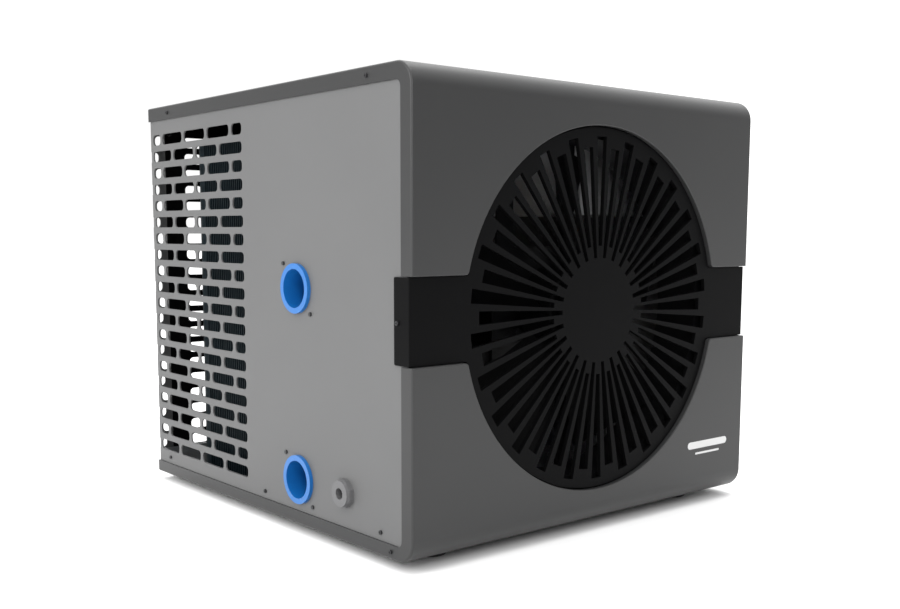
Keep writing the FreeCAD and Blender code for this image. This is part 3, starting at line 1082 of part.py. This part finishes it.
# ---------------------------------------------------------------- build
def cabinet():
    upper = shell("upper_shell", CEILING, SEAM_HIGH, 1, "flange_top")
    lower = shell("lower_shell", FLOOR, SEAM_LOW, -1, "flange_bottom")
    hatch = sketch(upper, "bezel_opening", "XY_Plane", f"{CEILING} + 1")
    polygon(hatch, [(f"panel_east {i} bezel_length / 2", f"panel_north {j} bezel_width / 2")
                    for i, j in (("-", "-"), ("+", "-"), ("+", "+"), ("-", "+"))])
    pocket(upper, hatch, "shell_gauge + 2")
    floor_holes = sketch(lower, "floor_holes", "XY_Plane", f"{FLOOR} + 2")
    for x, y in FEET:
        circle(floor_holes, x, y, "3.2")
    circle(floor_holes, "0", "120", "8")
    pocket(lower, floor_holes, "4")
    for body, spots in ((upper, SHELL_SCREWS["upper"]), (lower, SHELL_SCREWS["lower"])):
        holes = sketch(body, body.Name + "_screw_holes", "YZ_Plane", "body_width / 2 + 1")
        for y, z in spots:
            circle(holes, y, z, "screw_hole")
        pocket(body, holes, "body_width + 2")


cabinet()
front_grille()
port_holes = [("port_setback", height, "port_tube") for height in PORTS.values()]
port_holes += [(f"port_setback + {turn} * port_screw_offset", f"{height} + {turn} * port_screw_offset", "screw_hole")
               for height in PORTS.values() for turn in (1, -1)]
port_holes.append(("gland_setback", f"{FLOOR} + gland_height", "8"))
side_panel("left_panel", -1, port_holes)
side_panel("right_panel", 1, [])
rear_grille()
base_and_feet()
cabinet_screws()
water_ports()
cable_gland()
fan_shroud()
fan()
motor()
coil_columns, coil_low, coil_end = evaporator()
compressor()
water_exchanger()
refrigerant_circuit(coil_columns, coil_low, coil_end)
electrics()
control_panel()
doc.recompute()

for obj in doc.Objects:
    if "Invalid" in obj.State or "Error" in obj.State:
        raise ValueError(f"{obj.Name}: {obj.State}")
os.makedirs("parts", exist_ok=True)
for name, obj in parts.items():
    if obj.Shape.isNull() or not obj.Shape.isValid() or not obj.Shape.Solids:
        raise ValueError(f"{name}: shape is null, invalid or not solid")
    obj.Shape.exportStep(f"parts/{name}.step")
print(len(parts), "parts")
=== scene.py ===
import json
import math

import bmesh
import bpy
from mathutils import Matrix, Vector


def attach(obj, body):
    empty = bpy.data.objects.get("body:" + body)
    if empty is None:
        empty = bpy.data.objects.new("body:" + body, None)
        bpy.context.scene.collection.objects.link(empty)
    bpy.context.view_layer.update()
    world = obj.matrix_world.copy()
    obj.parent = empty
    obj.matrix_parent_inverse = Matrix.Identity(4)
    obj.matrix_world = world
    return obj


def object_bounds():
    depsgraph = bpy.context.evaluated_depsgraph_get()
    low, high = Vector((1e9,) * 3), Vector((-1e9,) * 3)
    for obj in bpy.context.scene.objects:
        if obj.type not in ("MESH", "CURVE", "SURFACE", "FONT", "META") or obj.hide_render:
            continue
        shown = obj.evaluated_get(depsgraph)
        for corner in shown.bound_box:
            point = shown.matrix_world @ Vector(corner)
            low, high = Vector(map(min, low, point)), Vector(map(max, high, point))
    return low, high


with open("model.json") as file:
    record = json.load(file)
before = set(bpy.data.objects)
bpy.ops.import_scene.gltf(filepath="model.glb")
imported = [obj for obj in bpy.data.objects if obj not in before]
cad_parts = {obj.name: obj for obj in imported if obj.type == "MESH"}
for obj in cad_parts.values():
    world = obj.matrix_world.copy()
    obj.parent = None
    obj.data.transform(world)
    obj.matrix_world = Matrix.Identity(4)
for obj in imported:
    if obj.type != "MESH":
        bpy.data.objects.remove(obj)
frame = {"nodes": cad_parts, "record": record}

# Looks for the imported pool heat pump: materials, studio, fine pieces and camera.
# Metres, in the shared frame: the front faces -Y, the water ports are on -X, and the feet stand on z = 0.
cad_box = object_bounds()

NODES = frame["nodes"]
MM = 0.001

PROUD = 0.02 * MM  # how far a mark stands out of the face it sits on
SUNK = -0.2 * MM  # how far its edge goes down into that face

# the room: direction, cosines between which its light rises, and how bright it gets
ROOM = (
    ((0.638, 0.770, 0), 0.25, 0.7, 0.98),  # white backdrop, ahead of the camera
    ((0, 0, 1), 0.15, 0.9, 1.5),  # ceiling
    ((-1, 0, 0), 0.2, 0.9, 0.8),  # soft wall on the ports' side
    ((1, 0, 0), 0.6, 1.0, 0.9),  # soft wall on the far side
)
ROOM_BASE = 0.05

# name, place, target, width, height, watts
LIGHTS = (
    ("left_fill", (-2.6, 0.4, 1.1), (0, 0, 0.2), 1.8, 1.6, 42),
    ("top_soft", (0.2, -0.1, 2.6), (0, 0, 0.3), 2.2, 1.6, 40),
    ("edge_glint", (-1.0, -1.5, 0.9), (-0.1, -0.1, 0.2), 0.15, 0.8, 9),
)
FLOOR_REACH = 30

SENSOR_WIDTH = 36
LENS = 43.276
LENS_SHIFT = (0.0098, 0.0637)
CAMERA_PLACE = (-0.7189, -0.8692, 0.2689)
CAMERA_YAW, CAMERA_PITCH, CAMERA_ROLL = (math.radians(angle) for angle in (39.666, 6.88, 0.069))


# ---------------------------------------------------------------- materials
def shader_material(name, roughness, metallic, coat, specular):
    material = bpy.data.materials.new(name)
    material.use_nodes = True
    shader = material.node_tree.nodes["Principled BSDF"]
    shader.inputs["Roughness"].default_value = roughness
    shader.inputs["Metallic"].default_value = metallic
    shader.inputs["Coat Weight"].default_value = coat
    shader.inputs["Specular IOR Level"].default_value = specular
    return material, material.node_tree, shader


def noise(tree, scale, detail):
    """Noise in object space."""
    place = tree.nodes.new("ShaderNodeTexCoord")
    texture = tree.nodes.new("ShaderNodeTexNoise")
    texture.inputs["Scale"].default_value = scale
    texture.inputs["Detail"].default_value = detail
    tree.links.new(place.outputs["Object"], texture.inputs["Vector"])
    return texture.outputs["Fac"]


def ramp(tree, source, low, high, start=0.3, end=0.7):
    """Colour ramp from low to high over the source's range from start to end."""
    node = tree.nodes.new("ShaderNodeValToRGB")
    for element, position, colour in zip(node.color_ramp.elements, (start, end), (low, high)):
        element.position = position
        element.color = (*colour, 1)
    tree.links.new(source, node.inputs["Fac"])
    return node.outputs["Color"]


def shade(colour, factor):
    return tuple(min(1.0, c * factor) for c in colour)


def spread(tree, source, low, high):
    """Maps 0..1 to low..high."""
    node = tree.nodes.new("ShaderNodeMapRange")
    node.inputs["To Min"].default_value = low
    node.inputs["To Max"].default_value = high
    tree.links.new(source, node.inputs["Value"])
    return node.outputs["Result"]


def bump(tree, shader, height, strength, distance):
    node = tree.nodes.new("ShaderNodeBump")
    node.inputs["Strength"].default_value = strength
    node.inputs["Distance"].default_value = distance
    tree.links.new(height, node.inputs["Height"])
    tree.links.new(node.outputs["Normal"], shader.inputs["Normal"])


def grained(name, colour, roughness, grain, depth, variation=0.06, metallic=0.0, coat=0.0,
            specular=0.5):
    """Surface with soft tone drift, uneven gloss and a fine grain of the given scale and depth."""
    material, tree, shader = shader_material(name, roughness, metallic, coat, specular)
    drift = noise(tree, 9, 2)
    tones = ramp(tree, drift, shade(colour, 1 - variation), shade(colour, 1 + variation))
    tree.links.new(tones, shader.inputs["Base Color"])
    fine = noise(tree, grain, 4)
    gloss = spread(tree, fine, roughness * 0.85, min(1.0, roughness * 1.15))
    tree.links.new(gloss, shader.inputs["Roughness"])
    bump(tree, shader, fine, 0.5, depth)
    return material


MATERIALS = {
    "graphite_paint": grained("graphite_powder_coat", (0.026, 0.0262, 0.0265), 0.38,
                              1400, 0.00003, 0.02, specular=0.35),
    "grey_paint": grained("grey_powder_coat", (0.107, 0.1075, 0.108), 0.5,
                          1400, 0.00003, 0.02, specular=0.3),
    "black_plastic": grained("black_moulded_plastic", (0.003, 0.003, 0.0032), 0.45,
                             1100, 0.00003, 0.05, specular=0.04),
    "zinc_sheet": grained("galvanised_sheet", (0.5, 0.51, 0.52), 0.42, 160, 0.00001, 0.15, 0.9),
    "rubber": grained("black_rubber", (0.02, 0.02, 0.02), 0.75, 700, 0.00004),
    "steel": grained("turned_steel", (0.5, 0.5, 0.51), 0.3, 300, 0.00001, 0.05, 1.0),
    "dark_screw": grained("blackened_screw", (0.025, 0.025, 0.027), 0.4, 600, 0.00001, 0.1, 0.4),
    "blue_plastic": grained("azure_plastic", (0.007, 0.118, 0.375), 0.3,
                            700, 0.00001, 0.03, coat=0.1),
    "light_plastic": grained("pale_plastic", (0.11, 0.11, 0.113), 0.5, 900, 0.00002),
    "copper": grained("drawn_copper", (0.78, 0.33, 0.16), 0.3, 60, 0.00001, 0.25, 1.0),
    "brass": grained("machined_brass", (0.72, 0.5, 0.2), 0.3, 90, 0.00001, 0.15, 1.0),
    "coated_fins": grained("coated_fins", (0.007, 0.014, 0.018), 0.5,
                           300, 0.00001, 0.1, specular=0.2),
    "black_paint": grained("black_gloss_paint", (0.006, 0.006, 0.0065), 0.35,
                           300, 0.00004, specular=0.2),
    "tank_plastic": grained("black_tank_plastic", (0.045, 0.045, 0.048), 0.5, 500, 0.00003),
    "titanium": grained("drawn_titanium", (0.4, 0.39, 0.38), 0.35, 200, 0.00001, 0.1, 1.0),
    "board_green": grained("solder_resist", (0.012, 0.12, 0.05), 0.35, 400, 0.00002, 0.15),
    "smoked_window": grained("smoked_window", (0.01, 0.011, 0.012), 0.08,
                             50, 0.000001, 0.02, coat=0.5),
    "button_plastic": grained("grey_button", (0.3, 0.31, 0.32), 0.5, 900, 0.00002),
    # flat near-black marks: painted shade in the screws' cross recesses; the dark signs on the buttons
    # use it too
    "recess": grained("recess_shadow", (0.004, 0.004, 0.004), 0.8, 900, 0.00002, specular=0.1),
    "print": grained("pale_print", (0.6, 0.6, 0.6), 0.6, 900, 0.00001, 0.02),
}


def dress_cad_nodes():
    """Gives every CAD node the material of its slot in the record."""
    for entry in frame["record"]["subparts"]:
        node = NODES[entry["node"]]
        node.data.materials.clear()
        node.data.materials.append(MATERIALS[entry["material_slot"]])


# ---------------------------------------------------------------- studio
def area_light(name, place, target, width, height, power):
    data = bpy.data.lights.new(name, "AREA")
    data.shape = "RECTANGLE"
    data.size = width
    data.size_y = height
    data.energy = power
    light = bpy.data.objects.new(name, data)
    bpy.context.collection.objects.link(light)
    light.location = place
    light.rotation_euler = (Vector(target) - Vector(place)).to_track_quat("-Z", "Y").to_euler()


def facing(tree, direction, start, end, level):
    """Level times a smooth step over the cosine between the looked-at direction and a fixed one."""
    place = tree.nodes.new("ShaderNodeTexCoord")
    dot = tree.nodes.new("ShaderNodeVectorMath")
    dot.operation = "DOT_PRODUCT"
    dot.inputs[1].default_value = direction
    tree.links.new(place.outputs["Generated"], dot.inputs[0])
    step = tree.nodes.new("ShaderNodeMapRange")
    step.interpolation_type = "SMOOTHSTEP"
    step.inputs["From Min"].default_value = start
    step.inputs["From Max"].default_value = end
    step.inputs["To Max"].default_value = level
    tree.links.new(dot.outputs["Value"], step.inputs["Value"])
    return step.outputs["Result"]


def room():
    """World light: the room's terms added up over a faint base."""
    world = bpy.data.worlds.new("studio")
    bpy.context.scene.world = world
    world.use_nodes = True
    tree = world.node_tree
    background = tree.nodes["Background"]
    background.inputs["Color"].default_value = (1, 1, 1, 1)
    glow = None
    for term in ROOM:
        part = facing(tree, *term)
        node = tree.nodes.new("ShaderNodeMath")
        node.operation = "ADD"
        tree.links.new(part, node.inputs[0])
        if glow is None:
            node.inputs[1].default_value = ROOM_BASE
        else:
            tree.links.new(glow, node.inputs[1])
        glow = node.outputs["Value"]
    tree.links.new(glow, background.inputs["Strength"])


def pale_floor():
    mesh = bpy.data.meshes.new("floor")
    build = bmesh.new()
    bmesh.ops.create_grid(build, x_segments=1, y_segments=1, size=FLOOR_REACH)
    build.to_mesh(mesh)
    build.free()
    floor = bpy.data.objects.new("floor", mesh)
    bpy.context.collection.objects.link(floor)
    mesh.materials.append(grained("pale_floor", (0.9, 0.9, 0.9), 0.9, 30, 0.0001, 0.01))


# ---------------------------------------------------------------- fine pieces
def plate(build, outline, frame_of, low, high):
    """Adds a flat plate: outline in the frame's first two axes, from low to high along its third.

    Its underside is left open, since it lies inside the piece below.
    """
    rings = [[build.verts.new(frame_of @ Vector((x, y, level))) for x, y in outline]
             for level in (low, high)]
    count = len(outline)
    build.faces.new(rings[1])
    for i in range(count):
        following = (i + 1) % count
        build.faces.new((rings[0][i], rings[0][following], rings[1][following], rings[1][i]))


def finished(name, build, material, body="cabinet"):
    """Turns the built faces into a piece that rides on a body."""
    bmesh.ops.recalc_face_normals(build, faces=build.faces)
    mesh = bpy.data.meshes.new(name)
    build.to_mesh(mesh)
    build.free()
    mesh.materials.append(material)
    piece = bpy.data.objects.new(name, mesh)
    bpy.context.collection.objects.link(piece)
    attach(piece, body)


def facing_frame(place, outward):
    """Frame at a place whose third axis points outward."""
    turn = Vector(outward).to_track_quat("Z", "Y").to_matrix().to_4x4()
    return Matrix.Translation(place) @ turn


def world_spots(name):
    """Vertices of a CAD node in the shared frame."""
    node = NODES[name]
    return [node.matrix_world @ vert.co for vert in node.data.vertices]


def centre(spots):
    """Middle of the spots' box, seen from above."""
    return [sum(limit(spot[i] for spot in spots) for limit in (min, max)) / 2 for i in (0, 1)]


def loose_boxes(node):
    """World boxes of a node's separate solids, as pairs of corners."""
    build = bmesh.new()
    build.from_mesh(node.data)
    build.transform(node.matrix_world)
    bmesh.ops.remove_doubles(build, verts=build.verts, dist=1e-6)
    waiting, boxes = set(build.verts), []
    while waiting:
        stack = [waiting.pop()]
        spots = []
        while stack:
            vert = stack.pop()
            spots.append(vert.co.copy())
            for edge in vert.link_edges:
                other = edge.other_vert(vert)
                if other in waiting:
                    waiting.remove(other)
                    stack.append(other)
        boxes.append([Vector(limit(spot[i] for spot in spots) for i in range(3))
                      for limit in (min, max)])
    build.free()
    return boxes


def painted_screw_recess_shade():
    """Flat near-black crosses on the heads of the cabinet's screws: painted shade standing for their
    cross recesses.
    """
    arm, half, depth = 1.05 * MM, 0.28 * MM, 0.3 * MM
    cross = [(half, half), (half, arm), (-half, arm), (-half, half), (-arm, half), (-arm, -half),
             (-half, -half), (-half, -arm), (half, -arm), (half, -half), (arm, -half), (arm, half)]
    build = bmesh.new()
    for low, high in loose_boxes(NODES["cabinet_screws"]):
        middle, size = (low + high) / 2, high - low
        axis = 0 if size.x > size.y else 1
        outward = Vector((0, 0, 0))
        outward[axis] = -1 if axis == 0 and middle.x < 0 else 1
        middle[axis] = low[axis] if outward[axis] < 0 else high[axis]
        # each cross is a dark plate whose near-black is the painted shade of the recess
        plate(build, cross, facing_frame(middle, outward), -depth, PROUD)
    finished("painted_screw_recess_shade", build, MATERIALS["recess"])


def capsule(centre_x, centre_y, width, height, steps=8):
    """Outline of a strip with round ends."""
    radius = height / 2
    spots = []
    for side, start in ((1, -90), (-1, 90)):
        for i in range(steps + 1):
            angle = math.radians(start + 180 * i / steps)
            spots.append((centre_x + side * (width / 2 - radius) + radius * math.cos(angle),
                          centre_y + radius * math.sin(angle)))
    return spots


def arc_band(inner, outer, start, stop, steps=16):
    """Outline of part of a flat ring."""
    angles = [math.radians(start + (stop - start) * i / steps) for i in range(steps + 1)]
    return ([(outer * math.cos(a), outer * math.sin(a)) for a in angles]
            + [(inner * math.cos(a), inner * math.sin(a)) for a in reversed(angles)])


def button_marks():
    """A plain sign on each push button, in millimetres round the button's middle."""
    bar = [(-0.2, 0.6), (0.2, 0.6), (0.2, 2.2), (-0.2, 2.2)]
    signs = {"power": [arc_band(1.4, 1.8, 125, 415), bar],
             "mode": [capsule(0, level, 2.8, 0.5) for level in (-1.1, 0, 1.1)],
             "down": [[(-1.6, 1.0), (0, -1.6), (1.6, 1.0)]],
             "up": [[(-1.6, -1.0), (1.6, -1.0), (0, 1.6)]]}
    for name, outlines in signs.items():
        spots = world_spots("button_" + name)
        top = max(spot.z for spot in spots)
        place = Matrix.Translation((*centre(spots), top))
        build = bmesh.new()
        for outline in outlines:
            plate(build, [(x * MM, y * MM) for x, y in outline], place, SUNK, PROUD)
        finished("mark_" + name, build, MATERIALS["recess"], f"button_{name}_body")


def weld_bead():
    """Rippled weld seams round the compressor can, near its lower and upper end."""
    seams = (0.062, 0.158)
    can_bottom, can_middle = 0.05, 0.1
    half_thickness, ripple, ripples = 1.5 * MM, 0.12, 45
    around, section = 180, 8

    upper = [spot for spot in world_spots("compressor") if spot.z > can_bottom]
    top = max(spot.z for spot in upper)
    east, north = centre([spot for spot in upper if spot.z > top - MM])
    radius = max(spot.x for spot in upper
                 if spot.z > can_middle and abs(spot.y - north) < 3 * MM) - east
    build = bmesh.new()
    for level in seams:
        rings = []
        for i in range(around):
            angle = 2 * math.pi * i / around
            swell = half_thickness * (1 + ripple * math.sin(ripples * angle))
            ring = []
            for j in range(section):
                turn = 2 * math.pi * j / section
                reach = radius + swell * math.cos(turn)
                ring.append(build.verts.new((east + reach * math.cos(angle),
                                             north + reach * math.sin(angle),
                                             level + swell * math.sin(turn))))
            rings.append(ring)
        for i in range(around):
            here, ahead = rings[i], rings[(i + 1) % around]
            for j in range(section):
                above = (j + 1) % section
                build.faces.new((here[j], ahead[j], ahead[above], here[above]))
    for face in build.faces:
        face.smooth = True
    finished("weld_beads", build, MATERIALS["black_paint"])


def name_strip():
    """Blank pale strips where a maker would print its name."""
    strips = ((158, 61, 62, 7), (158, 52.5, 38, 2))  # x, z, width and height in millimetres
    build = bmesh.new()
    front = facing_frame((0, cad_box[0][1], 0), (0, -1, 0))
    flip = 1 if (front @ Vector((1, 0, 0))).x > 0 else -1
    for strip in strips:
        outline = [(flip * x * MM, z * MM) for x, z in capsule(*strip)]
        plate(build, outline, front, SUNK, 0.03 * MM)
    finished("name_strip", build, MATERIALS["print"])


# ---------------------------------------------------------------- camera
def camera():
    """Camera at the front left, a little above mid height, its optical axis off the middle."""
    data = bpy.data.cameras.new("camera")
    data.sensor_width = SENSOR_WIDTH
    data.lens = LENS
    data.shift_x, data.shift_y = LENS_SHIFT
    data.clip_start = 0.01
    view = bpy.data.objects.new("camera", data)
    bpy.context.collection.objects.link(view)
    turn = (Matrix.Rotation(-CAMERA_YAW, 4, "Z") @ Matrix.Rotation(math.pi / 2 - CAMERA_PITCH, 4, "X")
            @ Matrix.Rotation(CAMERA_ROLL, 4, "Z"))
    view.matrix_world = Matrix.Translation(CAMERA_PLACE) @ turn
    bpy.context.scene.camera = view


dress_cad_nodes()
painted_screw_recess_shade()
button_marks()
weld_bead()
name_strip()
room()
pale_floor()
for light in LIGHTS:
    area_light(*light)
camera()
bpy.context.scene.view_settings.view_transform = "Standard"
